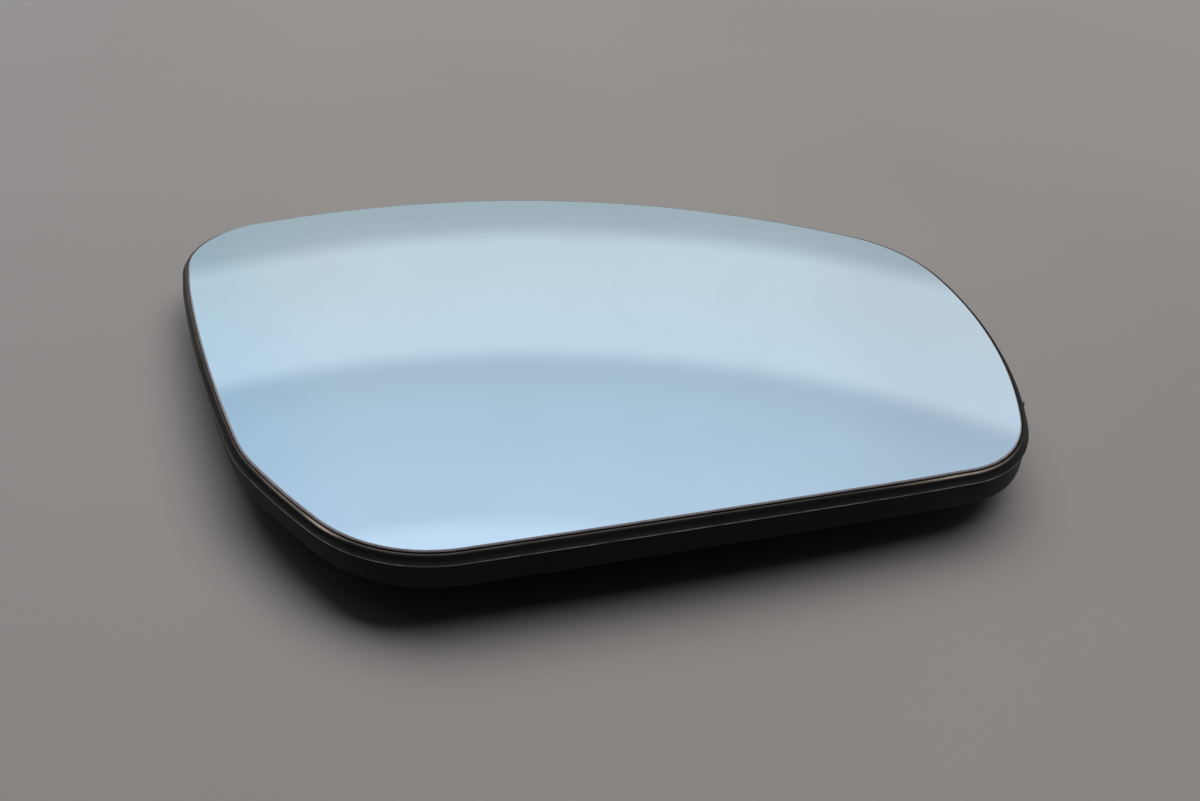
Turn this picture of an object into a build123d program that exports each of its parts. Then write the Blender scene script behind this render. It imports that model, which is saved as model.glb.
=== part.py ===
from build123d import *
import math
import os

# Car door mirror glass for the right-hand door: a convex glass in a moulded carrier.
# Millimetres. +Z points out of the glass, +X runs along the flat lower edge, away from the door.
# The origin is the centre of the clip ring, on the plane that the part rests on.

# Glass outline: corners before rounding, from the clip centre
door_top_corner = (-90.9, 58.4)
outer_top_corner = (85.0, 15.0)
outer_low_corner = (72.6, -59.4)
inner_low_corner = (-45.4, -59.4)
door_low_corner = (-69.6, -28.2)

# Glass outline: how each side bows outwards, and how each corner is rounded
top_bow = 246.0
outer_bow = 87.0
bottom_bow = 1336.0
diagonal_bow = 176.5
door_bow = 439.5
door_top_round = 15.8
outer_top_round = 28.6
outer_low_round = 20.9
inner_low_round = 32.4
door_low_round = 37.8

# Curvature and stack of layers behind the glass front
convex_radius = 1300.0
apex_height = 16.8
glass_thickness = 2.0
ground_edge = 0.25
back_arris = 0.2
film_thickness = 0.2
film_inset = 3.0
pad_thickness = 0.8
pad_inset = 2.0
floor_thickness = 1.7
bond_line = 0.05

# Rim of the carrier, outwards from the glass edge and down from the glass front
edge_gap = 0.3
lip_drop = 0.3
lip_land = 0.4
parting_out = 1.8
parting_drop = 1.78
parting_land = 0.2
parting_step = 0.15
skirt_drop = 7.9
skirt_wall = 2.1
skirt_draft = 1.0
gate_radius = 0.6
gate_stand = 0.3
gate_along = 0.745

# Clip ring and ribs on the back of the carrier
clip_radius = 29.0
clip_wall = 2.0
clip_segments = 8
clip_slot = 5.0
clip_slot_root = 1.0
barb_reach = 1.0
barb_lead = 1.5
barb_land = 1.2
barb_back = 0.8
hub_rib_radius = 37.0
rib_thickness = 1.5
rib_depth = 1.5
gusset_height = 6.0

# Heater terminals: flat blades that leave through collars in the floor
terminal_x = 49.0
terminal_spacing = 18.0
blade_width = 6.3
blade_thickness = 0.8
blade_tip = 2.2
blade_chamfer = 1.0
blade_hole = 1.8
blade_hole_height = 4.0
foot_length = 5.0
slot_clearance = 0.2
pad_clearance = 0.6
collar_wall = 1.4

# Worked out from the values above
curve_centre = (0, 0, apex_height - convex_radius)
seam_under = (0, 90, 0)
film_depth = glass_thickness + bond_line
film_back = film_depth + film_thickness
pad_depth = film_back + bond_line
pad_back = pad_depth + pad_thickness
floor_depth = pad_back + bond_line
back_depth = floor_depth + floor_thickness
rib_bottom_depth = back_depth + rib_depth
root_depth = floor_depth + floor_thickness / 2
lip_out = edge_gap + lip_land
lip_fall = parting_drop - parting_land - lip_drop
skirt_out = parting_out - parting_step
skirt_in = skirt_out - skirt_wall
skirt_top = apex_height - parting_drop
skirt_foot_out = skirt_out - skirt_top * math.tan(math.radians(skirt_draft))
clip_outer = clip_radius + clip_wall
half_step = 180 / clip_segments
finger_count = clip_segments // 2
finger_arc = 2 * (half_step - math.degrees(math.asin(clip_slot / 2 / clip_radius)))
foot_x = terminal_x + (foot_length - blade_thickness) / 2
terminal_rows = {"upper": terminal_spacing / 2, "lower": -terminal_spacing / 2}
blade_places = [(terminal_x, y) for y in terminal_rows.values()]


def outline(out):
    # The glass outline moved outwards by this much, as plain tangent arcs
    with BuildSketch() as glass_face:
        with BuildLine():
            RadiusArc(door_top_corner, outer_top_corner, top_bow)
            RadiusArc(outer_top_corner, outer_low_corner, outer_bow)
            RadiusArc(outer_low_corner, inner_low_corner, bottom_bow)
            RadiusArc(inner_low_corner, door_low_corner, diagonal_bow)
            RadiusArc(door_low_corner, door_top_corner, door_bow)
        make_face()
        rounds = (
            (door_top_corner, door_top_round),
            (outer_top_corner, outer_top_round),
            (outer_low_corner, outer_low_round),
            (inner_low_corner, inner_low_round),
            (door_low_corner, door_low_round),
        )
        for corner, radius in rounds:
            fillet(glass_face.vertices().sort_by_distance(corner)[0], radius)
    edge = glass_face.face().outer_wire()
    moved_edge = edge.offset_2d(out) if out else edge
    with BuildSketch() as moved_face:
        with BuildLine():
            for arc in moved_edge.edges():
                ThreePointArc(arc @ 0, arc @ 0.5, arc @ 1)
        make_face()
    return moved_face.sketch


def height_at(distance, depth):
    # Height of a curved layer at this distance from the clip axis
    return curve_centre[2] + math.sqrt((convex_radius - depth) ** 2 - distance**2)


def prism(out):
    extrude(outline(out), amount=apex_height)


def keep_below(depth):
    # Curved layers are depths under the glass front, on the glass's own curvature
    with Locations(curve_centre):
        Sphere(convex_radius - depth, rotation=seam_under, mode=Mode.INTERSECT)


def keep_above(depth):
    with Locations(curve_centre):
        Sphere(convex_radius - depth, rotation=seam_under, mode=Mode.SUBTRACT)


with BuildPart() as mirror_glass:
    prism(0)
    keep_below(0)
    keep_above(glass_thickness)
    curved = mirror_glass.faces().filter_by(GeomType.SPHERE).sort_by(Axis.Z)
    chamfer(curved[-1].edges(), ground_edge)
    chamfer(curved[0].edges(), back_arris)
mirror_glass.part.label = "mirror_glass"

with BuildPart() as heater_film:
    prism(-film_inset)
    keep_below(film_depth)
    keep_above(film_back)
heater_film.part.label = "heater_film"

with BuildPart() as adhesive_pad:
    prism(-pad_inset)
    keep_below(pad_depth)
    keep_above(pad_back)
    with BuildSketch():
        with Locations(*[(foot_x, y) for y in terminal_rows.values()]):
            Rectangle(foot_length + 2 * pad_clearance, blade_width + 2 * pad_clearance)
    extrude(amount=apex_height, mode=Mode.SUBTRACT)
adhesive_pad.part.label = "adhesive_pad"

# Tools that shape the carrier: below the parting step, the glass pocket and the hollow back
with BuildPart() as below_step:
    prism(parting_out + parting_step)
    keep_below(parting_drop)
    with BuildSketch():
        add(outline(skirt_foot_out))
    with BuildSketch(Plane.XY.offset(skirt_top)):
        add(outline(skirt_out))
    loft(ruled=True, mode=Mode.SUBTRACT)

with BuildPart() as glass_pocket:
    prism(edge_gap)
    keep_above(floor_depth)

with BuildPart() as hollow_back:
    prism(skirt_in)
    keep_below(back_depth)

with BuildPart() as ribs:
    with BuildSketch():
        Circle(hub_rib_radius + rib_thickness)
        Circle(hub_rib_radius, mode=Mode.SUBTRACT)
        rib_length = abs(door_top_corner[0]) + door_top_corner[1]  # past the rim on every side
        with PolarLocations(hub_rib_radius + rib_length / 2, clip_segments):
            Rectangle(rib_length, rib_thickness)
        with Locations(*blade_places):
            collar = 2 * (slot_clearance + collar_wall)
            Rectangle(blade_thickness + collar, blade_width + collar)
    extrude(amount=apex_height)
    extrude(outline(skirt_in + skirt_wall / 4), amount=apex_height, mode=Mode.INTERSECT)
    keep_below(root_depth)
    keep_above(rib_bottom_depth)

with BuildPart() as gusset:
    gusset_end = hub_rib_radius + rib_thickness / 2
    gusset_low = height_at(clip_outer, back_depth) - gusset_height
    with BuildSketch(Plane.XZ):
        Polygon(
            (clip_outer - clip_wall / 2, gusset_low),
            (clip_outer + rib_thickness, gusset_low),
            (gusset_end, height_at(gusset_end, rib_bottom_depth)),
            (gusset_end, height_at(gusset_end, root_depth)),
            (clip_outer - clip_wall / 2, height_at(gusset_end, root_depth)),
            align=None,
        )
    extrude(amount=rib_thickness / 2, both=True)

with BuildPart() as barb:
    barb_radius = clip_radius - barb_reach
    with BuildSketch(Plane.XZ):
        Polygon(
            (clip_radius + clip_wall / 2, 0),
            (clip_radius, 0),
            (barb_radius, barb_lead),
            (barb_radius, barb_lead + barb_land),
            (clip_radius, barb_lead + barb_land + barb_back),
            (clip_radius + clip_wall / 2, barb_lead + barb_land + barb_back),
            align=None,
        )
    revolve(axis=Axis.Z, revolution_arc=finger_arc)

with BuildLine() as outer_side:
    RadiusArc(outer_top_corner, outer_low_corner, outer_bow)
gate_out = (outer_side.line % gate_along).rotate(Axis.Z, 90)
gate_foot = outer_side.line @ gate_along + gate_out * lip_out
gate_height = Vector(0, 0, height_at(gate_foot.length, parting_drop))

with BuildPart() as gate:
    with BuildSketch(Plane(gate_foot + gate_height, z_dir=gate_out)):
        Circle(gate_radius)
    extrude(amount=parting_out - lip_out + gate_stand)

with BuildPart() as backing_plate:
    prism(parting_out)
    keep_below(lip_drop)
    lip_top = backing_plate.faces().filter_by(GeomType.SPHERE)[0]
    chamfer(lip_top.edges(), parting_out - lip_out, lip_fall, reference=lip_top)
    add(below_step.part, mode=Mode.SUBTRACT)
    keep_above(skirt_drop)
    add(glass_pocket.part, mode=Mode.SUBTRACT)
    add(hollow_back.part, mode=Mode.SUBTRACT)
    add(ribs.part)
    with BuildSketch():
        Circle(clip_outer)
        Circle(clip_radius, mode=Mode.SUBTRACT)
    extrude(amount=height_at(clip_outer, root_depth))
    with PolarLocations(0, finger_count, start_angle=half_step * 2 - finger_arc / 2):
        add(barb.part)
    with BuildSketch():
        with PolarLocations(clip_radius + clip_wall / 2, clip_segments, start_angle=half_step):
            Rectangle(2 * clip_wall, clip_slot)
    extrude(amount=height_at(clip_outer, back_depth) - clip_slot_root, mode=Mode.SUBTRACT)
    with PolarLocations(0, finger_count):
        add(gusset.part)
    with BuildSketch():
        with Locations(*blade_places):
            Rectangle(blade_thickness + 2 * slot_clearance, blade_width + 2 * slot_clearance)
    extrude(amount=apex_height, mode=Mode.SUBTRACT)
    add(gate.part)
backing_plate.part.label = "backing_plate"

terminal_parts = []
for row, y in terminal_rows.items():
    with BuildPart() as terminal:
        with BuildSketch():
            with Locations((foot_x, y)):
                Rectangle(foot_length, blade_width)
        extrude(amount=apex_height)
        keep_below(pad_depth)
        keep_above(pad_back)
        foot_reach = math.hypot(terminal_x + foot_length, abs(y) + blade_width)
        with BuildSketch(Plane.XY.offset(blade_tip)):
            with Locations((terminal_x, y)):
                Rectangle(blade_thickness, blade_width)
        extrude(amount=height_at(foot_reach, pad_depth) - blade_tip)
        tip_corners = terminal.edges().filter_by(Axis.X).group_by(Axis.Z)[0]
        chamfer(tip_corners, blade_chamfer)
        with BuildSketch(Plane.YZ.offset(terminal_x)):
            with Locations((y, blade_tip + blade_hole_height)):
                Circle(blade_hole / 2)
        extrude(amount=blade_thickness, both=True, mode=Mode.SUBTRACT)
    terminal.part.label = f"heater_terminal_{row}"
    terminal_parts.append(terminal.part)

os.makedirs("parts", exist_ok=True)
for piece in (mirror_glass.part, heater_film.part, adhesive_pad.part, backing_plate.part, *terminal_parts):
    export_step(piece, f"parts/{piece.label}.step")
    print(piece.label, round(piece.volume, 1))
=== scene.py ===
import bmesh
import bpy
import math
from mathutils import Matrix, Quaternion, Vector, noise


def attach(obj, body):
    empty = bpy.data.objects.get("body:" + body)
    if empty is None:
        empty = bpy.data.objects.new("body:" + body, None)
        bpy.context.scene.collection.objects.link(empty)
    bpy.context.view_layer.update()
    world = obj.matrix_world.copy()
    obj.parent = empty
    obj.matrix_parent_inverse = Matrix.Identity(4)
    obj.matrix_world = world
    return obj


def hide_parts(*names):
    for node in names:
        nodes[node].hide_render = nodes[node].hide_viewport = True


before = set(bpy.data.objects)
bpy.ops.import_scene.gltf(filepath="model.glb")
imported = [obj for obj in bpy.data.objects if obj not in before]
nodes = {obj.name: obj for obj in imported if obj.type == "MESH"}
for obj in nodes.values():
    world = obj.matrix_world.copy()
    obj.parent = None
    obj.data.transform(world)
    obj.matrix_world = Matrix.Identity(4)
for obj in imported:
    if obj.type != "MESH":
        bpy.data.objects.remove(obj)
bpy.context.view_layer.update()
mm = 0.001      # sizes of the part are in millimetres, Blender gets metres
print("frame loaded:", ", ".join(sorted(nodes)))


# Camera where the photographer stood: above the near edge, a little to the door side
viewPoint = {
    "place": (-0.0307, -0.1562, 0.1292),        # metres
    "lookAt": (-0.00074, -0.02471, 0.01208),
    "roll": 0.80,       # degrees
    "lens": 26.4,
    "sensor": 36.0,
    "nearest": 0.005,
}


def placeCamera():
    camera = bpy.data.objects.new("camera", bpy.data.cameras.new("camera"))
    bpy.context.scene.collection.objects.link(camera)
    camera.data.lens = viewPoint["lens"]
    camera.data.sensor_width = viewPoint["sensor"]
    camera.data.sensor_fit = "HORIZONTAL"
    camera.data.clip_start = viewPoint["nearest"]
    camera.location = viewPoint["place"]
    ahead = Vector(viewPoint["lookAt"]) - Vector(viewPoint["place"])
    level = ahead.to_track_quat("-Z", "Y")
    camera.rotation_mode = "QUATERNION"
    camera.rotation_quaternion = level @ Quaternion((0, 0, 1), math.radians(viewPoint["roll"]))
    bpy.context.scene.camera = camera


placeCamera()
print("camera placed")


# Outline of the glass, clockwise from the top corner at the door: bowed sides, rounded corners
glassEdge = {
    "corners": ((-90.9, 58.4), (85.0, 15.0), (72.6, -59.4), (-45.4, -59.4), (-69.6, -28.2)),
    "bows": (246.0, 87.0, 1336.0, 176.5, 439.5),
    "rounds": (15.8, 28.6, 20.9, 32.4, 37.8),
    "step": 1.5,        # between points along a side
    "turn": 3.0,        # degrees between points round a corner
    "eased": ((1.0, 5.0, 0.4), (281.0, 5.0, 0.2)),      # where along the edge, over what length, how far in
}
glassCurve = {"radius": 1300.0, "apex": 16.8}


def sideCentre(start, end, radius):
    half = (end - start) / 2
    inward = Vector((half.y, -half.x)).normalized()     # the glass lies right of the walk
    return (start + end) / 2 + inward * math.sqrt(radius**2 - half.length_squared)


def roundCentre(c1, r1, c2, r2, corner):
    # where circles about two centres cross, on the corner's side
    apart = c2 - c1
    along = (r1**2 - r2**2 + apart.length_squared) / (2 * apart.length)
    across = math.sqrt(r1**2 - along**2)
    ahead = apart.normalized()
    foot = c1 + ahead * along
    side = Vector((-ahead.y, ahead.x)) * across
    return min((foot + side, foot - side), key=lambda p: (p - corner).length)


def heading(v):
    return math.atan2(v.y, v.x)


def walkEdge(shape):
    corners = [Vector(c) for c in shape["corners"]]
    bows, rounds = shape["bows"], shape["rounds"]
    count = len(corners)
    sides = [sideCentre(corners[i], corners[(i + 1) % count], bows[i]) for i in range(count)]
    centres = []
    for i in range(count):
        before, after = bows[i - 1] - rounds[i], bows[i] - rounds[i]
        centres.append(roundCentre(sides[i - 1], before, sides[i], after, corners[i]))
    arcs = []
    for i in range(count):
        into, out = heading(centres[i] - sides[i - 1]), heading(centres[i] - sides[i])
        arcs.append((centres[i], rounds[i], into, out))
        arcs.append((sides[i], bows[i], out, heading(centres[(i + 1) % count] - sides[i])))
    walk, run = [], 0.0
    for centre, radius, first, last in arcs:
        sweep = (first - last) % (2 * math.pi)
        byLength = math.ceil(sweep * radius / shape["step"])
        byTurn = math.ceil(math.degrees(sweep) / shape["turn"])
        parts = max(2, byLength, byTurn)
        for k in range(parts):
            share = sweep * k / parts
            walk.append((centre, radius, first - share, run + share * radius))
        run += sweep * radius
    return walk, run, sides


edgeWalk, edgeLength, sideCentres = walkEdge(glassEdge)
print("glass edge:", len(edgeWalk), "points on", round(edgeLength), "mm")


def ramp(value, start, end):
    t = min(1.0, max(0.0, (value - start) / (end - start)))
    return t * t * (3 - 2 * t)


def stretch(run, rise, full, fall, end):
    # 1 between full and fall along the edge, 0 before rise and after end
    if run < rise:
        run += edgeLength
    return ramp(run, rise, full) * (1 - ramp(run, fall, end))


def easedBy(run):
    # two corners are a little fuller rounded than plain arcs
    total = 0.0
    for at, length, much in glassEdge["eased"]:
        apart = min(abs(run - at), edgeLength - abs(run - at))
        total += much * math.exp(-(apart**2) / (2 * length**2))
    return total


def moved(step, out):
    centre, radius, angle, run = step
    return centre + Vector((math.cos(angle), math.sin(angle))) * (radius + out - easedBy(run))


def heightAt(x, y, depth):
    # depth under the glass front, on the glass's own curve
    r = glassCurve["radius"] - depth
    return glassCurve["apex"] - glassCurve["radius"] + math.sqrt(r * r - x * x - y * y)


# Mesh helpers
def newVert(bm, x, y, z):
    return bm.verts.new((x * mm, y * mm, z * mm))


def edgeLoop(bm, out, depth, wobble=None, share=1.0):
    # the outline moved outwards, with a share of the wobble at each place along the edge
    loop = []
    for step in edgeWalk:
        more = share * wobble(step[3]) if wobble else 0.0
        p = moved(step, out + more)
        loop.append(newVert(bm, p.x, p.y, heightAt(p.x, p.y, depth)))
    return loop


def bridge(bm, a, b, paint=0):
    for i in range(len(a)):
        j = (i + 1) % len(a)
        bm.faces.new((a[i], a[j], b[j], b[i])).material_index = paint


def fillInwards(bm, loop, depth, rings, paint=0):
    # rings that shrink to the clip centre, all on one curved layer
    last = loop
    flat = [(v.co.x / mm, v.co.y / mm) for v in loop]
    for k in range(1, rings):
        s = 1 - k / rings
        ring = [newVert(bm, x * s, y * s, heightAt(x * s, y * s, depth)) for x, y in flat]
        bridge(bm, last, ring, paint)
        last = ring
    middle = newVert(bm, 0, 0, heightAt(0, 0, depth))
    for i in range(len(last)):
        bm.faces.new((last[i], last[(i + 1) % len(last)], middle)).material_index = paint


def skin(bm, sections, closed=False):
    # a tube of faces through sections with equal numbers of points
    rows = [[newVert(bm, *p) for p in s] for s in sections]
    for a, b in zip(rows, rows[1:]):
        bridge(bm, a, b)
    if closed:
        bridge(bm, rows[-1], rows[0])
    else:
        bm.faces.new(rows[0])
        bm.faces.new(rows[-1])
    return rows


def softCorner(a, corner, b, t):
    return a * (1 - t) ** 2 + corner * (2 * t * (1 - t)) + b * t**2


def softened(points, cut, steps=3, most=0.45):
    # the same polygon with its corners rounded off, by at most this share of a side
    soft = []
    count = len(points)
    for i in range(count):
        v = Vector(points[i])
        before, after = Vector(points[i - 1]) - v, Vector(points[(i + 1) % count]) - v
        a = v + before * min(most, cut / before.length)
        b = v + after * min(most, cut / after.length)
        soft += [tuple(softCorner(a, v, b, k / steps)) for k in range(steps + 1)]
    return soft


def finishPiece(name, bm, materials, node, sharp=38.0):
    bmesh.ops.recalc_face_normals(bm, faces=bm.faces)
    for face in bm.faces:
        face.smooth = True
    mesh = bpy.data.meshes.new(name)
    bm.to_mesh(mesh)
    bm.free()
    mesh.set_sharp_from_angle(angle=math.radians(sharp))
    piece = bpy.data.objects.new(name, mesh)
    bpy.context.scene.collection.objects.link(piece)
    for material in materials:
        mesh.materials.append(material)
    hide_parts(node)
    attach(piece, "root")
    print(name, "made:", len(mesh.polygons), "faces")
    return piece


# Node helpers
def newMaterial(name):
    material = bpy.data.materials.new(name)
    material.use_nodes = True
    tree = material.node_tree
    shader = next(n for n in tree.nodes if n.type == "BSDF_PRINCIPLED")
    return material, tree, shader


def addNode(tree, kind, **settings):
    node = tree.nodes.new(kind)
    for key, value in settings.items():
        setattr(node, key, value)
    return node


def setInputs(node, **values):
    for key, value in values.items():
        node.inputs[key.replace("_", " ")].default_value = value
    return node


def feed(tree, socket, value):
    # links another node's output, or sets a plain value
    if hasattr(value, "links"):
        tree.links.new(value, socket)
    else:
        socket.default_value = value


def newGroup(name, inputs, outputs):
    group = bpy.data.node_groups.new(name, "ShaderNodeTree")
    for label, kind, value in inputs:
        socket = group.interface.new_socket(name=label, in_out="INPUT", socket_type=kind)
        if value is not None:
            socket.default_value = value
    for label, kind in outputs:
        group.interface.new_socket(name=label, in_out="OUTPUT", socket_type=kind)
    return group, group.nodes.new("NodeGroupInput"), group.nodes.new("NodeGroupOutput")


def useGroup(tree, group, place, **values):
    node = tree.nodes.new("ShaderNodeGroup")
    node.node_tree = group
    tree.links.new(place, node.inputs["Place"])
    return setInputs(node, **values)


def objectPlace(tree):
    return tree.nodes.new("ShaderNodeTexCoord").outputs["Object"]


def mathNode(tree, operation, a, b=None, clamp=False):
    node = addNode(tree, "ShaderNodeMath", operation=operation, use_clamp=clamp)
    feed(tree, node.inputs[0], a)
    if b is not None:
        feed(tree, node.inputs[1], b)
    return node.outputs[0]


def mixColour(tree, mask, a, b, blend="MIX"):
    node = addNode(tree, "ShaderNodeMix", data_type="RGBA", blend_type=blend)
    for k, value in ((0, mask), (6, a), (7, b)):        # 6 and 7 are the colour sockets
        feed(tree, node.inputs[k], value)
    return node.outputs[2]


def spread(tree, value, low, high, toLow, toHigh):
    node = addNode(tree, "ShaderNodeMapRange", interpolation_type="SMOOTHSTEP")
    tree.links.new(value, node.inputs["Value"])
    setInputs(node, From_Min=low, From_Max=high, To_Min=toLow, To_Max=toHigh)
    return node.outputs["Result"]


def tintAlong(tree, value, start, full, colour, tint):
    # multiplies the tint in as the value goes from start to full
    return mixColour(tree, spread(tree, value, start, full, 0.0, 1.0), colour, tint, "MULTIPLY")


def addBump(tree, shader, height, strength, distance):
    bump = setInputs(addNode(tree, "ShaderNodeBump"), Strength=strength, Distance=distance * mm)
    tree.links.new(height, bump.inputs["Height"])
    tree.links.new(bump.outputs["Normal"], shader.inputs["Normal"])


# Shared effects
noiseSpan = (0.3, 0.7)      # where most of a noise texture's values lie


def makeGrainGroup():
    # moulded grain: fine pits over a slow unevenness
    group, given, result = newGroup(
        "mouldedGrain",
        [
            ("Place", "NodeSocketVector", None),
            ("Grain Size", "NodeSocketFloat", 3500.0),
            ("Mottle Size", "NodeSocketFloat", 90.0),
        ],
        [("Height", "NodeSocketFloat"), ("Mottle", "NodeSocketFloat")],
    )
    fine = setInputs(addNode(group, "ShaderNodeTexNoise"), Detail=3.0, Roughness=0.6)
    slow = setInputs(addNode(group, "ShaderNodeTexNoise"), Detail=2.0, Roughness=0.5)
    for node, size in ((fine, "Grain Size"), (slow, "Mottle Size")):
        group.links.new(given.outputs["Place"], node.inputs["Vector"])
        group.links.new(given.outputs[size], node.inputs["Scale"])
    group.links.new(fine.outputs["Fac"], result.inputs["Height"])
    group.links.new(spread(group, slow.outputs["Fac"], *noiseSpan, 0.0, 1.0), result.inputs["Mottle"])
    return group


def makeEdgeMarkGroup():
    # marks along edges from a mesh mask, broken up so that they come and go: wear and painted highlight on
    # the lip, the flash with its painted highlight
    group, given, result = newGroup(
        "edgeMarks",
        [
            ("Place", "NodeSocketVector", None),
            ("Edge", "NodeSocketFloat", 0.0),
            ("Clean", "NodeSocketColor", (0, 0, 0, 1)),
            ("Rubbed", "NodeSocketColor", (0.1, 0.1, 0.1, 1)),
            ("Break Size", "NodeSocketFloat", 160.0),
            ("Least", "NodeSocketFloat", 0.7),
        ],
        [("Color", "NodeSocketColor"), ("Mask", "NodeSocketFloat")],
    )
    breaks = setInputs(addNode(group, "ShaderNodeTexNoise"), Detail=4.0, Roughness=0.65)
    group.links.new(given.outputs["Place"], breaks.inputs["Vector"])
    group.links.new(given.outputs["Break Size"], breaks.inputs["Scale"])
    kept = spread(group, breaks.outputs["Fac"], 0.36, 0.62, 0.0, 1.0)
    group.links.new(given.outputs["Least"], kept.node.inputs["To Min"])
    mask = mathNode(group, "MULTIPLY", given.outputs["Edge"], kept, clamp=True)
    markedColour = mixColour(group, mask, given.outputs["Clean"], given.outputs["Rubbed"])
    group.links.new(markedColour, result.inputs["Color"])
    group.links.new(mask, result.inputs["Mask"])
    return group


def makeDustGroup():
    # dust specks, and the faint film that wiping leaves
    group, given, result = newGroup(
        "dustAndFilm",
        [
            ("Place", "NodeSocketVector", None),
            ("Speck Size", "NodeSocketFloat", 900.0),
            ("Speck Least", "NodeSocketFloat", 0.93),
            ("Film Size", "NodeSocketFloat", 22.0),
        ],
        [("Specks", "NodeSocketFloat"), ("Film", "NodeSocketFloat")],
    )
    cells = addNode(group, "ShaderNodeTexVoronoi", feature="F1")
    film = setInputs(addNode(group, "ShaderNodeTexNoise"), Detail=5.0, Roughness=0.6, Distortion=0.6)
    for node, size in ((cells, "Speck Size"), (film, "Film Size")):
        group.links.new(given.outputs["Place"], node.inputs["Vector"])
        group.links.new(given.outputs[size], node.inputs["Scale"])
    near = spread(group, cells.outputs["Distance"], 0.05, 0.16, 1.0, 0.0)
    chosen = mathNode(group, "GREATER_THAN", cells.outputs["Color"], given.outputs["Speck Least"])
    group.links.new(mathNode(group, "MULTIPLY", near, chosen), result.inputs["Specks"])
    group.links.new(spread(group, film.outputs["Fac"], 0.42, 0.72, 0.0, 1.0), result.inputs["Film"])
    return group


grainGroup = makeGrainGroup()
edgeMarkGroup = makeEdgeMarkGroup()
dustGroup = makeDustGroup()
print("shared effects made")


# Mirror glass: convex tinted front, ground edge, dark coat behind
mirrorGlass = {
    "thickness": 2.0,
    "groundEdge": 0.25,
    "groundForm": (         # share of the way out, depth in ground edges, how much painted shade from down in the gap
        (0.0, 0.0, 0.0),
        (0.34, 0.20, 0.0),
        (0.72, 0.53, 0.0),
        (0.95, 0.86, 0.1),
        (1.0, 1.3, 0.35),
        (1.0, 2.0, 1.0),
    ),
    "edgeOut": 0.07,        # the ground edge bulges into the gap
    "doorOut": 0.12,        # and this much more along the door side
    "doorRuns": (385.0, 415.0, 490.0, 510.0),
    "edgeFoot": 3.0,        # depth where the bulge has ended, in ground edges
    "backArris": 0.2,
    "frontRings": 16,
    "backRings": 6,
    "sharpest": 18.0,       # degrees that still shade as smooth
    "tint": (0.60, 0.81, 0.96, 1),
    "filmTint": (0.585, 0.785, 0.925, 1),
    "dustTint": (0.62, 0.74, 0.82, 1),
    "polish": (0.012, 0.035),       # roughness where clean, under the film
    "speckRough": 0.12,
    "edgeTint": (0.45, 0.43, 0.49, 1),
    "edgeLight": (0.57, 0.55, 0.61, 1),
    "edgeShadeColour": (0.10, 0.092, 0.096, 1),     # painted shade down in the gap
    "edgeRough": (0.34, 0.5),
    "coat": (0.03, 0.032, 0.036, 1),
    "coatLight": (0.06, 0.062, 0.068, 1),
    "coatRough": (0.4, 0.55),
}


def tintedMirror():
    material, tree, shader = newMaterial("tintedMirror")
    dust = useGroup(tree, dustGroup, objectPlace(tree), Speck_Size=420.0, Speck_Least=0.965, Film_Size=24.0)
    filmed = mixColour(tree, dust.outputs["Film"], mirrorGlass["tint"], mirrorGlass["filmTint"])
    dusty = mixColour(tree, dust.outputs["Specks"], filmed, mirrorGlass["dustTint"])
    tree.links.new(dusty, shader.inputs["Base Color"])
    filmRough = spread(tree, dust.outputs["Film"], 0.0, 1.0, *mirrorGlass["polish"])
    speckRough = mathNode(tree, "MULTIPLY", dust.outputs["Specks"], mirrorGlass["speckRough"])
    tree.links.new(mathNode(tree, "MAXIMUM", filmRough, speckRough), shader.inputs["Roughness"])
    setInputs(shader, Metallic=1.0, IOR=1.5)
    return material


def groundGlass():
    material, tree, shader = newMaterial("groundGlass")
    grain = useGroup(tree, grainGroup, objectPlace(tree), Grain_Size=5200.0, Mottle_Size=700.0)
    # painted shade darkens the ground edge down in the gap
    low = addNode(tree, "ShaderNodeAttribute", attribute_name="gapShade")
    ground = mixColour(tree, grain.outputs["Mottle"], mirrorGlass["edgeTint"], mirrorGlass["edgeLight"])
    shaded = mixColour(tree, low.outputs["Fac"], ground, mirrorGlass["edgeShadeColour"])
    tree.links.new(shaded, shader.inputs["Base Color"])
    rough = spread(tree, grain.outputs["Mottle"], 0.0, 1.0, *mirrorGlass["edgeRough"])
    tree.links.new(rough, shader.inputs["Roughness"])
    addBump(tree, shader, grain.outputs["Height"], strength=0.25, distance=0.04)
    setInputs(shader, Metallic=0.0, IOR=1.5)
    return material


def backCoat():
    material, tree, shader = newMaterial("backCoat")
    grain = useGroup(tree, grainGroup, objectPlace(tree), Grain_Size=2600.0, Mottle_Size=60.0)
    coat = mixColour(tree, grain.outputs["Mottle"], mirrorGlass["coat"], mirrorGlass["coatLight"])
    tree.links.new(coat, shader.inputs["Base Color"])
    rough = spread(tree, grain.outputs["Height"], *noiseSpan, *mirrorGlass["coatRough"])
    tree.links.new(rough, shader.inputs["Roughness"])
    return material


def groundOut(run):
    # from the front's edge to the outermost of the ground edge
    more = mirrorGlass["doorOut"] * stretch(run, *mirrorGlass["doorRuns"])
    return mirrorGlass["groundEdge"] + mirrorGlass["edgeOut"] + more


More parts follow.
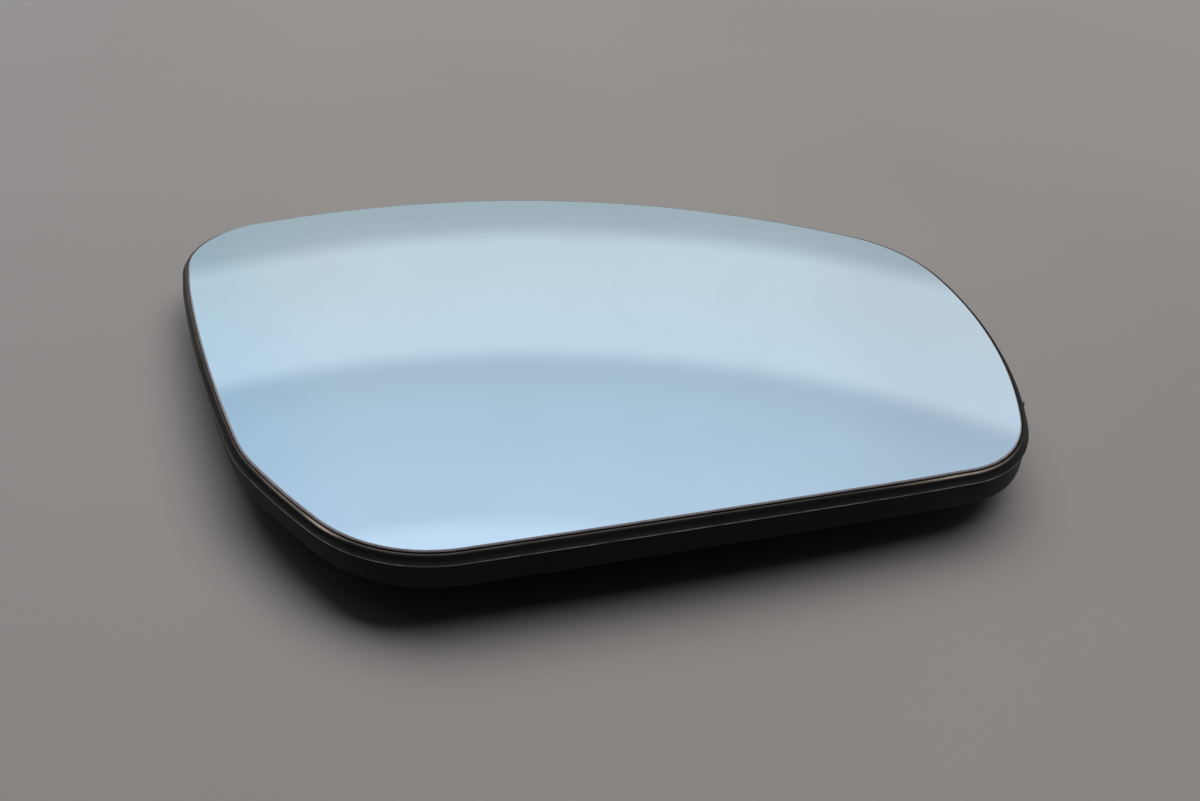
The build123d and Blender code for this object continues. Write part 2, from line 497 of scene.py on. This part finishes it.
def makeGlass():
    bm = bmesh.new()
    gapShade = bm.verts.layers.float.new("gapShade")
    ground, thick, arris = (mirrorGlass[k] for k in ("groundEdge", "thickness", "backArris"))
    rows = []
    for share, depth, low in mirrorGlass["groundForm"]:
        rows.append((edgeLoop(bm, -ground, depth * ground, groundOut, share), low))
    # the side and the back arris get the full painted shade
    for out, depth in ((0.0, mirrorGlass["edgeFoot"] * ground), (0.0, thick - arris), (-arris, thick)):
        rows.append((edgeLoop(bm, out, depth), 1.0))
    for loop, low in rows:
        for vert in loop:
            vert[gapShade] = low
    loops = [loop for loop, low in rows]
    fillInwards(bm, loops[0], 0.0, mirrorGlass["frontRings"], paint=0)
    for first, second in zip(loops, loops[1:]):
        bridge(bm, first, second, paint=1)
    fillInwards(bm, loops[-1], thick, mirrorGlass["backRings"], paint=2)
    finishes = [tintedMirror(), groundGlass(), backCoat()]      # in the order of paint
    finishPiece("mirrorGlass", bm, finishes, "mirror_glass", mirrorGlass["sharpest"])


makeGlass()


# Carrier: rim round the glass, floor behind it, clip ring and ribs on the back
carrier = {
    "gap": 0.3,             # between glass edge and lip
    "lipDrop": 0.3,
    "lipOut": 0.7,
    "lipRound": 0.1,
    "partingOut": 1.8,
    "partingDrop": 1.78,
    "partingLand": 0.2,
    "partingStep": 0.15,
    "skirtDrop": 7.12,
    "skirtWall": 2.1,
    "skirtFlare": 0.48,     # how far the foot of the skirt stands out past its top
    "skirtRound": 0.3,
    "farSink": 0.1,         # how much lower the rim sits along the top edge
    "farFrom": (0.78, 0.93),        # sine of the way that a side looks
    "floorTop": 3.15,       # depth of the pocket floor under the glass front
    "floorBack": 4.85,
    "floorMid": 4.0,        # where the ribs and the ring begin, inside the floor
    "pocketRings": 5,
    "backRings": 8,
    "ribCount": 8,
    "ribParts": 12,
    "ribBottom": 6.35,
    "ribWidth": 1.5,
    "ribRound": 0.3,
    "ribEnd": 0.6,          # outwards, inside the skirt's wall
    "hubRadius": 37.0,
    "ringParts": 120,
    "clipRadius": 29.0,
    "clipWall": 2.0,
    "clipCount": 8,         # every other one has a barb
    "clipParts": 18,
    "clipSlot": 5.0,
    "clipRound": 0.25,
    "slotRoot": 1.0,
    "bandOut": 0.02,        # the whole ring above the slots stands this proud
    "bandRound": 0.12,
    "bandInto": 0.3,        # how far the segments reach into it
    "barb": ((0.0, 0.0), (-1.0, 1.5), (-1.0, 2.7), (0.0, 3.5)),
    "gussetCount": 4,
    "gussetHeight": 6.0,
    "gussetInto": 1.0,
    "gussetRound": 0.35,
    "gussetEdge": ((1.0, 0.95), (0.94, 0.985), (0.8, 1.0)),     # share of the half width, shrunk to
    "collarAt": ((49.0, 9.0), (49.0, -9.0)),
    "collarSize": (4.0, 9.5),
    "collarSlot": (1.2, 6.7),
    "gateAlong": 0.745,
    "gateRadius": 0.6,
    "gateStand": 0.3,
    "gateEnd": ((0.25, 0.95), (0.7, 0.86), (1.0, 0.6)),     # share of the stand, share of the radius
    "gateParts": 14,
    "gateRagged": 0.16,
    "gatePale": 0.35,
    "flash": 0.07,          # how far the moulding flash stands out at the parting line
    "flashTall": 0.14,
    "flashLeast": 0.45,
    "flashSlow": (0.045, 0.6),      # waves to the millimetre, share
    "flashFine": (0.8, 0.5),
    "flashBurrs": (0.31, 0.42, 2.2),        # waves to the millimetre, where a burr begins, share
    "flashFades": (62.0, 78.0),
    "flashFadesBy": 0.6,
    # the lip's pale marks are wear with a painted highlight on the crest, painted tan for the warm light it
    # catches
    "wearAndHighlightAlong": (0.03, 0.20),    # at the outer end, how much more at the door
    "wearAndHighlightFrom": (80.0, -20.0),
    "paintedHighlightSpots": (         # painted highlight spots: where the lip is painted brightest, over what length, how much
        (-54.9, -48.9, 3.0, 1.1),
        (-62.0, -39.9, 4.0, 0.35),
        (59.5, -60.0, 6.5, 0.9),
    ),
    "paintedSheenBy": 0.05,        # painted sheen: the rim is painted paler towards the top corner at the door, standing in for a grazing reflection
    "paintedSheenRuns": (440.0, 492.0, 498.0, 512.0),
    "black": (0.0083, 0.0089, 0.0097, 1),
    "blackLight": (0.0120, 0.0126, 0.0133, 1),
    # tan of the worn lip and of its painted highlight
    "wearAndHighlightColour": (0.88, 0.76, 0.64, 1),
    # pale flash, painted light for the highlight that it catches
    "flashAndHighlightColour": (0.66, 0.65, 0.64, 1),
    "dustColour": (0.14, 0.135, 0.13, 1),
    "dustShare": 0.25,
    "rough": (0.42, 0.52),
    "rubbedPolish": 0.16,
}


def flashOut(run):
    # flash comes and goes along the parting line, with a few burrs; fixed numbers pick places in the noise
    slowWaves, slowShare = carrier["flashSlow"]
    fineWaves, fineShare = carrier["flashFine"]
    burrWaves, burrFrom, burrShare = carrier["flashBurrs"]
    slow = 0.5 + 0.5 * noise.noise(Vector((run * slowWaves, 3.1, 0.0)))
    fine = abs(noise.noise(Vector((run * fineWaves, 7.7, 0.0))))
    burr = max(0.0, noise.noise(Vector((run * burrWaves, 1.3, 5.0))) - burrFrom) * burrShare
    return carrier["flash"] * (carrier["flashLeast"] + slowShare * slow + fineShare * fine + burr)


def flashAt(p):
    # the flash's pale paint, which is partly painted highlight, fades round the outer end
    return 1.0 - carrier["flashFadesBy"] * ramp(p.x, *carrier["flashFades"])


def wearAndHighlightAt(p):
    # the lip is painted pale all along, as wear and as a painted highlight on its crest, less towards the
    # outer end, and most of all at a few painted highlight spots
    least, along = carrier["wearAndHighlightAlong"]
    start, end = carrier["wearAndHighlightFrom"]
    thin = least + along * min(1.0, max(0.0, (p.x - start) / (end - start)))
    most = 0.0
    for x, y, length, much in carrier["paintedHighlightSpots"]:
        most += much * math.exp(-((p.x - x) ** 2 + (p.y - y) ** 2) / (2 * length**2))
    return thin, most


# painted sheen along the rim towards the top corner at the door
def paintedSheenAt(run):
    return carrier["paintedSheenBy"] * stretch(run, *carrier["paintedSheenRuns"])


def sinkAt(step):
    # the rim sits lower where a side looks away from the near edge
    return carrier["farSink"] * ramp(math.sin(step[2]), *carrier["farFrom"])


def rimProfile():
    # over the lip, down the skirt and back up inside
    c = carrier
    skirtOut = c["partingOut"] - c["partingStep"]
    footOut = skirtOut + c["skirtFlare"]
    footIn = footOut - c["skirtWall"]
    lean = c["skirtFlare"] / (c["skirtDrop"] - c["partingDrop"])
    skirtIn = footIn - lean * (c["skirtDrop"] - c["floorBack"])
    landTop = c["partingDrop"] - c["partingLand"]
    flashTop, flashLow = c["partingDrop"] - c["flashTall"], c["partingDrop"]
    lip, foot = c["lipRound"], c["skirtRound"]
    slope = ((c["lipOut"] + c["partingOut"]) / 2, (c["lipDrop"] + landTop) / 2)
    crown = (c["gap"] + c["lipOut"]) / 2
    corners = [             # outwards, depth, rounded by, wear and painted highlight all along, painted highlight spots, flash
        (c["gap"], c["floorTop"], 0.0, 0.0, 0.0, False),
        (c["gap"], c["lipDrop"], lip, 0.3, 0.2, False),
        (crown, c["lipDrop"], 0.0, 1.0, 0.75, False),
        (c["lipOut"], c["lipDrop"], lip, 0.3, 1.0, False),
        (c["lipOut"] + 2 * lip, c["lipDrop"] + 2 * lip, 0.0, 0.0, 0.0, False),
        (*slope, 0.0, 0.0, 0.0, False),
        # the edge above the parting line is painted pale for the highlight along it
        (c["partingOut"], landTop, lip, 0.6, 0.1, False),
        (c["partingOut"], flashTop, 0.0, 0.3, 0.3, False),
        (c["partingOut"], flashTop, 0.0, 0.3, 0.3, True),
        (c["partingOut"], flashLow, 0.0, 0.3, 0.3, True),
        (skirtOut + lip, flashLow, 0.0, 0.2, 0.2, False),
        (skirtOut, flashLow + lip, 0.0, 0.0, 0.0, False),
        ((skirtOut + footOut) / 2, (flashLow + c["skirtDrop"]) / 2, 0.0, 0.0, 0.0, False),
        (footOut, c["skirtDrop"], foot, 0.06, 0.06, False),
        (footIn, c["skirtDrop"], foot, 0.05, 0.05, False),
        (skirtIn, c["floorBack"], foot, 0.0, 0.0, False),
        (skirtIn - 2 * foot, c["floorBack"], 0.0, 0.0, 0.0, False),
    ]
    profile = []            # outwards, depth, wear and painted highlight all along, painted highlight spots, flash
    for i, (out, depth, cut, thin, most, flash) in enumerate(corners):
        if not cut:
            profile.append((out, depth, thin, most, flash))
            continue
        at, before, after = (Vector(corners[k][:2]) for k in (i, i - 1, i + 1))
        a = at + (before - at).normalized() * cut
        b = at + (after - at).normalized() * cut
        for t in (0.0, 0.25, 0.5, 0.75, 1.0):
            p = softCorner(a, at, b, t)
            fade = 0.5 if t in (0.0, 1.0) else 1.0      # wear and painted highlight are less where the rounding ends
            profile.append((p.x, p.y, thin * fade, most * fade, flash))
    return profile


def addRim(bm, wearAndHighlight, flashed):
    loops = []
    for out, depth, thin, most, flash in rimProfile():
        loop = edgeLoop(bm, out, depth, flashOut if flash else None)
        for vert, step in zip(loop, edgeWalk):
            p = moved(step, out)
            thinHere, highlightHere = wearAndHighlightAt(p)
            vert.co.z -= sinkAt(step) * mm
            vert[wearAndHighlight] = thin * thinHere + most * highlightHere
            # the painted sheen goes on the rim above the parting line
            if depth < carrier["partingDrop"]:
                vert[wearAndHighlight] += paintedSheenAt(step[3])
            vert[flashed] = flashAt(p) if flash else 0.0
        loops.append(loop)
    for first, second in zip(loops, loops[1:]):
        bridge(bm, first, second)
    fillInwards(bm, loops[0], carrier["floorTop"], carrier["pocketRings"])
    fillInwards(bm, loops[-1], carrier["floorBack"], carrier["backRings"])


def reachEdge(angle, out):
    # distance from the clip axis to the moved edge in this direction
    ahead = Vector((math.cos(angle), math.sin(angle)))
    side = Vector((-ahead.y, ahead.x))
    points = [moved(step, out) for step in edgeWalk]
    for a, b in zip(points, points[1:] + points[:1]):
        sa, sb = a.dot(side), b.dot(side)
        if sa * sb <= 0 and a.dot(ahead) > 0 and sa != sb:
            return (a + (b - a) * (sa / (sa - sb))).dot(ahead)


def around(angle, along, across=0.0):
    x = along * math.cos(angle) - across * math.sin(angle)
    y = along * math.sin(angle) + across * math.cos(angle)
    return x, y


def turns(count):
    # even steps round a full turn
    return [2 * math.pi * k / count for k in range(count)]


def ribSection(inner, outer):
    top, low = carrier["floorMid"], carrier["ribBottom"]
    return softened([(inner, top), (inner, low), (outer, low), (outer, top)], carrier["ribRound"])


def addHubRib(bm):
    inner = carrier["hubRadius"]
    section = ribSection(inner, inner + carrier["ribWidth"])
    sections = []
    for angle in turns(carrier["ringParts"]):
        sections.append([(*around(angle, r), heightAt(r, 0, depth)) for r, depth in section])
    skin(bm, sections, closed=True)


def addRibs(bm):
    half = carrier["ribWidth"] / 2
    profile = ribSection(-half, half)
    parts = carrier["ribParts"]
    for angle in turns(carrier["ribCount"]):
        start, end = carrier["hubRadius"] + half, reachEdge(angle, carrier["ribEnd"])
        sections = []
        for i in range(parts + 1):
            along = start + (end - start) * i / parts
            section = []
            for across, depth in profile:
                x, y = around(angle, along, across)
                section.append((x, y, heightAt(x, y, depth)))
            sections.append(section)
        skin(bm, sections)


def addClipRing(bm):
    c = carrier
    inner, outer = c["clipRadius"], c["clipRadius"] + c["clipWall"]
    top = heightAt(outer, 0, c["floorMid"])
    root = heightAt(outer, 0, c["floorBack"]) - c["slotRoot"]
    bandIn, bandOut = inner - c["bandOut"], outer + c["bandOut"]
    band = softened([(bandIn, root), (bandOut, root), (bandOut, top), (bandIn, top)], c["bandRound"])
    skin(bm, [[(*around(a, r), z) for r, z in band] for a in turns(c["ringParts"])], closed=True)
    into = root + c["bandInto"]
    plain = softened([(inner, 0.0), (outer, 0.0), (outer, into), (inner, into)], c["clipRound"])
    barbed = [(inner + x, z) for x, z in c["barb"]] + [(inner, into), (outer, into), (outer, 0.0)]
    finger = softened(barbed, c["clipRound"])
    half = math.pi / c["clipCount"]
    for k, middle in enumerate(turns(c["clipCount"])):
        sections = []
        for i in range(c["clipParts"] + 1):
            section = []
            for r, z in finger if k % 2 else plain:
                trim = math.asin(c["clipSlot"] / 2 / r)       # the slots have parallel sides
                a = middle + (half - trim) * (2 * i / c["clipParts"] - 1)
                section.append((*around(a, r), z))
            sections.append(section)
        skin(bm, sections)


def addGussets(bm):
    c = carrier
    outer, half = c["clipRadius"] + c["clipWall"], c["ribWidth"] / 2
    start, end = outer - c["gussetInto"], c["hubRadius"] + half
    low = heightAt(outer, 0, c["floorBack"]) - c["gussetHeight"]
    top, endLow = heightAt(end, 0, c["floorMid"]), heightAt(end, 0, c["ribBottom"])
    side = [(start, low), (outer + c["ribWidth"], low), (end, endLow), (end, top), (start, top)]
    middle = sum((Vector(p) for p in side), Vector((0, 0))) / len(side)
    layers = [(-half * share, shrink) for share, shrink in c["gussetEdge"]]
    layers += [(-across, shrink) for across, shrink in reversed(layers)]
    for angle in turns(c["gussetCount"]):
        sections = []
        for across, shrink in layers:
            section = []
            for point in softened(side, c["gussetRound"]):
                p = middle + (Vector(point) - middle) * shrink
                section.append((*around(angle, p.x, across), p.y))
            sections.append(section)
        skin(bm, sections)


def boxLoop(centre, size, grown, cut, depth):
    x, y = centre
    w, h = ((side + grown) / 2 for side in size)
    corners = softened([(x - w, y - h), (x + w, y - h), (x + w, y + h), (x - w, y + h)], cut)
    return [(px, py, heightAt(px, py, depth)) for px, py in corners]


def addCollars(bm):
    c = carrier
    low = c["ribBottom"]
    rows = (        # box, grown by, corners cut by, depth
        (c["collarSize"], 0.0, 0.5, c["floorMid"]),
        (c["collarSize"], 0.0, 0.5, low - 0.25),
        (c["collarSize"], -0.1, 0.5, low - 0.06),
        (c["collarSize"], -0.4, 0.5, low),
        (c["collarSlot"], 0.3, 0.2, low),
        (c["collarSlot"], 0.0, 0.15, low - 0.2),
        (c["collarSlot"], 0.0, 0.15, c["floorMid"]),
    )
    for centre in c["collarAt"]:
        skin(bm, [boxLoop(centre, *row) for row in rows], closed=True)


def addGate(bm, flashed):
    # stub of the moulding gate, broken off by hand
    c = carrier
    corners = [Vector(p) for p in glassEdge["corners"]]
    centre, radius = sideCentres[1], glassEdge["bows"][1]       # on the outer side
    first, last = heading(corners[1] - centre), heading(corners[2] - centre)
    angle = first - ((first - last) % (2 * math.pi)) * c["gateAlong"]
    outward = Vector((math.cos(angle), math.sin(angle)))
    side = Vector((-outward.y, outward.x))
    ends = [(c["lipOut"], 1.0)]
    ends += [(c["partingOut"] + share * c["gateStand"], size) for share, size in c["gateEnd"]]
    sections = []
    for out, size in ends:
        at = centre + outward * (radius + out)
        z = heightAt(at.x, at.y, c["partingDrop"])
        section = []
        for k, a in enumerate(turns(c["gateParts"])):
            ragged = 1 + c["gateRagged"] * noise.noise(Vector((k * 0.9, out * 1.7, 2.0)))
            r = c["gateRadius"] * size * ragged
            p = at + side * (r * math.cos(a))
            section.append((p.x, p.y, z + r * math.sin(a)))
        sections.append(section)
    for row in skin(bm, sections)[1:]:
        for vert in row:
            vert[flashed] = c["gatePale"]


def blackMoulding():
    material, tree, shader = newMaterial("blackMoulding")
    place = objectPlace(tree)
    grain = useGroup(tree, grainGroup, place, Grain_Size=3200.0, Mottle_Size=70.0)
    # tan lip marks are wear and painted highlight; the pale flash is a painted highlight on the real flash
    wearAndHighlightNode = useGroup(tree, edgeMarkGroup, place, Rubbed=carrier["wearAndHighlightColour"], Break_Size=150.0, Least=0.72)
    flashAndHighlightNode = useGroup(tree, edgeMarkGroup, place, Rubbed=carrier["flashAndHighlightColour"], Break_Size=330.0, Least=0.35)
    dust = useGroup(tree, dustGroup, place, Speck_Size=700.0, Film_Size=40.0)
    for node, mask in ((wearAndHighlightNode, "wearAndHighlight"), (flashAndHighlightNode, "flashed")):
        edge = addNode(tree, "ShaderNodeAttribute", attribute_name=mask)
        tree.links.new(edge.outputs["Fac"], node.inputs["Edge"])
    black = mixColour(tree, grain.outputs["Mottle"], carrier["black"], carrier["blackLight"])
    tree.links.new(black, wearAndHighlightNode.inputs["Clean"])
    tree.links.new(wearAndHighlightNode.outputs["Color"], flashAndHighlightNode.inputs["Clean"])
    specks = mathNode(tree, "MULTIPLY", dust.outputs["Specks"], carrier["dustShare"])
    dusty = mixColour(tree, specks, flashAndHighlightNode.outputs["Color"], carrier["dustColour"])
    tree.links.new(dusty, shader.inputs["Base Color"])
    rough = spread(tree, grain.outputs["Mottle"], 0.0, 1.0, *carrier["rough"])
    polish = mathNode(tree, "MULTIPLY", wearAndHighlightNode.outputs["Mask"], carrier["rubbedPolish"])
    tree.links.new(mathNode(tree, "SUBTRACT", rough, polish), shader.inputs["Roughness"])
    setInputs(shader, Specular_IOR_Level=0.12)
    addBump(tree, shader, grain.outputs["Height"], strength=0.35, distance=0.05)
    return material


def makeCarrier():
    bm = bmesh.new()
    for mask in ("wearAndHighlight", "flashed"):      # both are made before either is fetched
        bm.verts.layers.float.new(mask)
    wearAndHighlight, flashed = bm.verts.layers.float["wearAndHighlight"], bm.verts.layers.float["flashed"]
    addRim(bm, wearAndHighlight, flashed)
    addHubRib(bm)
    addRibs(bm)
    addClipRing(bm)
    addGussets(bm)
    addCollars(bm)
    addGate(bm, flashed)
    piece = finishPiece("carrier", bm, [blackMoulding()], "backing_plate")
    level = piece.modifiers.new("levelFaces", "WEIGHTED_NORMAL")
    level.keep_sharp = True


makeCarrier()


# Layers behind the glass and the heater blades keep their CAD solids
heaterFilm = {
    "film": (0.62, 0.60, 0.56, 1),
    "filmDull": (0.56, 0.54, 0.50, 1),
    "track": (0.055, 0.055, 0.06, 1),
    "trackScale": 52.0,
    "trackEdge": (0.46, 0.56),
    "rough": (0.18, 0.42),      # film, track
}
adhesivePad = {
    "foam": (0.80, 0.80, 0.77, 1),
    "foamLight": (0.88, 0.88, 0.86, 1),
    "rough": (0.7, 0.9),
}
heaterBlade = {
    "tin": (0.70, 0.69, 0.65, 1),
    "tinLight": (0.78, 0.77, 0.73, 1),
    "tarnish": (0.52, 0.47, 0.38, 1),
    "tarnishShare": 0.5,
    "rough": (0.24, 0.38),
    "softEdge": 0.06,
    "softFrom": 50.0,       # degrees
}


def printedFilm():
    material, tree, shader = newMaterial("printedFilm")
    place = objectPlace(tree)
    wave = addNode(tree, "ShaderNodeTexWave", wave_type="BANDS", bands_direction="Y", wave_profile="TRI")
    setInputs(wave, Scale=heaterFilm["trackScale"], Distortion=0.0)
    tree.links.new(place, wave.inputs["Vector"])
    track = spread(tree, wave.outputs["Fac"], *heaterFilm["trackEdge"], 0.0, 1.0)
    dust = useGroup(tree, dustGroup, place, Speck_Size=500.0, Film_Size=60.0)
    base = mixColour(tree, dust.outputs["Film"], heaterFilm["film"], heaterFilm["filmDull"])
    tree.links.new(mixColour(tree, track, base, heaterFilm["track"]), shader.inputs["Base Color"])
    tree.links.new(spread(tree, track, 0.0, 1.0, *heaterFilm["rough"]), shader.inputs["Roughness"])
    return material


def adhesiveSheet():
    material, tree, shader = newMaterial("adhesiveSheet")
    grain = useGroup(tree, grainGroup, objectPlace(tree), Grain_Size=1900.0, Mottle_Size=120.0)
    foam = mixColour(tree, grain.outputs["Mottle"], adhesivePad["foam"], adhesivePad["foamLight"])
    tree.links.new(foam, shader.inputs["Base Color"])
    rough = spread(tree, grain.outputs["Height"], *noiseSpan, *adhesivePad["rough"])
    tree.links.new(rough, shader.inputs["Roughness"])
    addBump(tree, shader, grain.outputs["Height"], strength=0.5, distance=0.1)
    return material


def tinnedBlade():
    material, tree, shader = newMaterial("tinnedBlade")
    place = objectPlace(tree)
    grain = useGroup(tree, grainGroup, place, Grain_Size=4200.0, Mottle_Size=420.0)
    dust = useGroup(tree, dustGroup, place, Speck_Size=900.0, Film_Size=300.0)
    tin = mixColour(tree, grain.outputs["Mottle"], heaterBlade["tin"], heaterBlade["tinLight"])
    dull = mathNode(tree, "MULTIPLY", dust.outputs["Film"], heaterBlade["tarnishShare"])
    tree.links.new(mixColour(tree, dull, tin, heaterBlade["tarnish"]), shader.inputs["Base Color"])
    rough = spread(tree, grain.outputs["Mottle"], 0.0, 1.0, *heaterBlade["rough"])
    tree.links.new(rough, shader.inputs["Roughness"])
    setInputs(shader, Metallic=1.0)
    return material


def dressNodes():
    blade = tinnedBlade()
    finishes = {
        "heater_film": printedFilm(),
        "adhesive_pad": adhesiveSheet(),
        "heater_terminal_upper": blade,
        "heater_terminal_lower": blade,
    }
    for name, material in finishes.items():
        mesh = nodes[name].data
        mesh.materials.clear()
        mesh.materials.append(material)
    for name in ("heater_terminal_upper", "heater_terminal_lower"):
        soft = nodes[name].modifiers.new("softEdges", "BEVEL")
        soft.width = heaterBlade["softEdge"] * mm
        soft.segments = 2
        soft.limit_method = "ANGLE"
        soft.angle_limit = math.radians(heaterBlade["softFrom"])
    print("CAD nodes dressed:", ", ".join(finishes))


dressNodes()


# Studio: pale table, soft surroundings with the bands that the mirror shows, one soft light
studio = {
    "floorHalf": 1.2,       # metres
    "floorCells": 8,
    "floorColour": (0.48, 0.467, 0.466, 1),
    "floorMottle": (0.462, 0.449, 0.448, 1),
    "floorPaintedShades": (        # painted shade: the table is painted a little darker to the outer end and to the front, where less light falls
        ("X", 0.02, 0.16, (0.93, 0.93, 0.93, 1)),
        ("Y", 0.05, -0.06, (0.95, 0.95, 0.95, 1)),
    ),
    "floorRough": (0.5, 0.6),
    "bandsFrom": 17.0,      # degrees from +Y towards +X, where the bands stand highest
    "bandsArch": (0.275, 0.355),    # of the upper boundary, of the lower
    "archFrom": (27.0, 38.0),       # degrees up
    "sideTints": (          # sideways direction where it starts, where it is full, colour
        (-0.14, -0.34, (0.86, 0.94, 0.995, 1)),
        (0.42, 0.56, (0.965, 0.945, 0.955, 1)),
    ),
    "bands": (              # degrees up, colour
        (0.0, (0.60, 0.59, 0.57)),
        (24.6, (0.55, 0.54, 0.515)),
        (26.0, (0.585, 0.568, 0.543)),
        (28.5, (0.84, 0.792, 0.755)),
        (38.3, (0.86, 0.828, 0.825)),
        (40.6, (0.625, 0.634, 0.665)),
        (45.0, (0.672, 0.688, 0.728)),
        (53.4, (0.735, 0.742, 0.798)),
        (55.4, (0.885, 0.892, 0.945)),
        (57.5, (0.86, 0.87, 0.92)),
        (75.0, (0.72, 0.71, 0.70)),
    ),
    "behindCamera": 0.45,           # strength of the room on that side
    "behindFrom": (-0.05, 0.42),
    "backdrop": (0.24, 0.232, 0.228, 1),
    "lightFrom": (27.0, 58.6),      # azimuth from +Y towards +X, elevation
    "lightFar": 4.0,        # metres
    "lightSize": (6.6, 2.5),
    "lightTilt": -6.0,
    "lightPower": 132.0,
    "lightColour": (1.0, 0.97, 0.94),
}


def makeWorld():
    world = bpy.data.worlds.new("softRoom")
    bpy.context.scene.world = world
    world.use_nodes = True
    tree = world.node_tree
    background = next(n for n in tree.nodes if n.type == "BACKGROUND")
    direction = tree.nodes.new("ShaderNodeTexCoord").outputs["Generated"]
    parts = addNode(tree, "ShaderNodeSeparateXYZ")
    tree.links.new(direction, parts.inputs[0])
    turn = math.radians(studio["bandsFrom"])
    ahead = addNode(tree, "ShaderNodeVectorMath", operation="DOT_PRODUCT")
    tree.links.new(direction, ahead.inputs[0])
    ahead.inputs[1].default_value = (math.sin(turn), math.cos(turn), 0.0)
    up = parts.outputs["Z"]
    levelSquared = mathNode(tree, "SUBTRACT", 1.0, mathNode(tree, "MULTIPLY", up, up))
    level = mathNode(tree, "SQRT", mathNode(tree, "MAXIMUM", levelSquared, 0.0001))     # never zero
    away = mathNode(tree, "SUBTRACT", 1.0, mathNode(tree, "DIVIDE", ahead.outputs["Value"], level))
    archFrom = (math.sin(math.radians(v)) for v in studio["archFrom"])
    arch = spread(tree, up, *archFrom, *studio["bandsArch"])
    lifted = mathNode(tree, "ADD", mathNode(tree, "ARCSINE", up), mathNode(tree, "MULTIPLY", away, arch))
    stops = addNode(tree, "ShaderNodeValToRGB")
    stops.color_ramp.interpolation = "EASE"
    tree.links.new(mathNode(tree, "DIVIDE", lifted, math.pi / 2), stops.inputs["Fac"])
    while len(stops.color_ramp.elements) < len(studio["bands"]):
        stops.color_ramp.elements.new(1.0)
    for stop, (degrees, colour) in zip(stops.color_ramp.elements, studio["bands"]):
        stop.position = degrees / 90
        stop.color = (*colour, 1)
    room = stops.outputs["Color"]
    for start, full, colour in studio["sideTints"]:
        room = tintAlong(tree, parts.outputs["X"], start, full, room, colour)
    strength = spread(tree, ahead.outputs["Value"], *studio["behindFrom"], studio["behindCamera"], 1.0)
    seen = tree.nodes.new("ShaderNodeLightPath").outputs["Is Camera Ray"]
    tree.links.new(mixColour(tree, seen, room, studio["backdrop"]), background.inputs["Color"])
    tree.links.new(mathNode(tree, "MAXIMUM", strength, seen), background.inputs["Strength"])
    world.cycles_visibility.diffuse = False     # the room is for reflections, the lamp does the lighting


def paleTable():
    material, tree, shader = newMaterial("paleTable")
    place = objectPlace(tree)
    grain = useGroup(tree, grainGroup, place, Grain_Size=900.0, Mottle_Size=9.0)
    parts = addNode(tree, "ShaderNodeSeparateXYZ")
    tree.links.new(place, parts.inputs[0])
    pale = mixColour(tree, grain.outputs["Mottle"], studio["floorColour"], studio["floorMottle"])
    # painted shade towards the outer end and the front
    for axis, start, full, colour in studio["floorPaintedShades"]:
        pale = tintAlong(tree, parts.outputs[axis], start, full, pale, colour)
    tree.links.new(pale, shader.inputs["Base Color"])
    rough = spread(tree, grain.outputs["Height"], *noiseSpan, *studio["floorRough"])
    tree.links.new(rough, shader.inputs["Roughness"])
    return material


def makeFloor():
    bm = bmesh.new()
    cells = studio["floorCells"]
    bmesh.ops.create_grid(bm, x_segments=cells, y_segments=cells, size=studio["floorHalf"])
    mesh = bpy.data.meshes.new("table")
    bm.to_mesh(mesh)
    bm.free()
    floor = bpy.data.objects.new("table", mesh)
    bpy.context.scene.collection.objects.link(floor)
    mesh.materials.append(paleTable())


def makeLight():
    azimuth, rise = (math.radians(v) for v in studio["lightFrom"])
    across = math.cos(rise)
    away = Vector((math.sin(azimuth) * across, math.cos(azimuth) * across, math.sin(rise)))
    lamp = bpy.data.lights.new("softBox", "AREA")
    lamp.shape = "ELLIPSE"
    lamp.size, lamp.size_y = studio["lightSize"]
    lamp.energy = studio["lightPower"]
    lamp.color = studio["lightColour"]
    light = bpy.data.objects.new("softBox", lamp)
    bpy.context.scene.collection.objects.link(light)
    light.location = away * studio["lightFar"]
    light.visible_glossy = False        # the mirror shows the room, not the lamp
    tilt = Quaternion((0, 0, 1), math.radians(studio["lightTilt"]))
    light.rotation_mode = "QUATERNION"
    light.rotation_quaternion = (-away).to_track_quat("-Z", "Y") @ tilt


makeWorld()
makeFloor()
makeLight()
bpy.context.scene.view_settings.view_transform = "Standard"
print("studio made")
